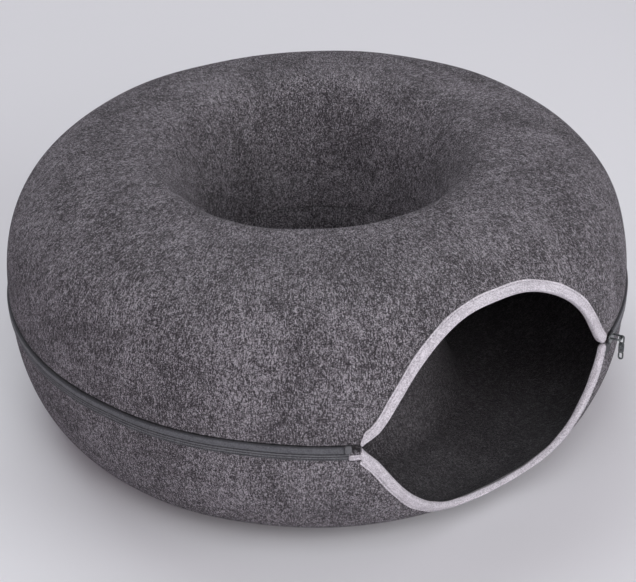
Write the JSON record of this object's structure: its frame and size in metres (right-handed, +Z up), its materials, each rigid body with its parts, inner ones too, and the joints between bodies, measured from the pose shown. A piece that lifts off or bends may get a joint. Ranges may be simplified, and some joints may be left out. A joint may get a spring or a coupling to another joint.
{
  "type": "donut cat bed",
  "caption": "Round felt tunnel bed for a cat: a hollow ring with an open well in the middle, an eye-shaped bound mouth at the front and a zip round its widest line.",
  "frame": {"origin": "middle of the bed's footprint, at the level it stands on; the axis of the well is 8.9 mm nearer the front", "axes": "+Z up, -Y out of the middle of the mouth, +X towards the zip's slider at the mouth's right corner"},
  "size_m": [0.5036, 0.4862, 0.226],
  "materials": {
    "felt": "pressed felt, dark grey heather",
    "binding": "woven tape, pale grey-lavender",
    "zip_tape": "woven tape, dark slate",
    "zip_chain": "moulded nylon coil, slate grey",
    "end_box": "moulded plastic, mid grey",
    "gunmetal": "polished gunmetal"
  },
  "bodies": {
    "root": {"upper_shell": "felt", "lower_shell": "felt", "upper_binding": "binding", "lower_binding": "binding", "zip_upper_tape": "zip_tape", "zip_lower_tape": "zip_tape", "zip_coil": "zip_chain", "zip_end_box": "end_box", "zip_slider": "gunmetal", "zip_pull": "gunmetal"}
  },
  "joints": []
}
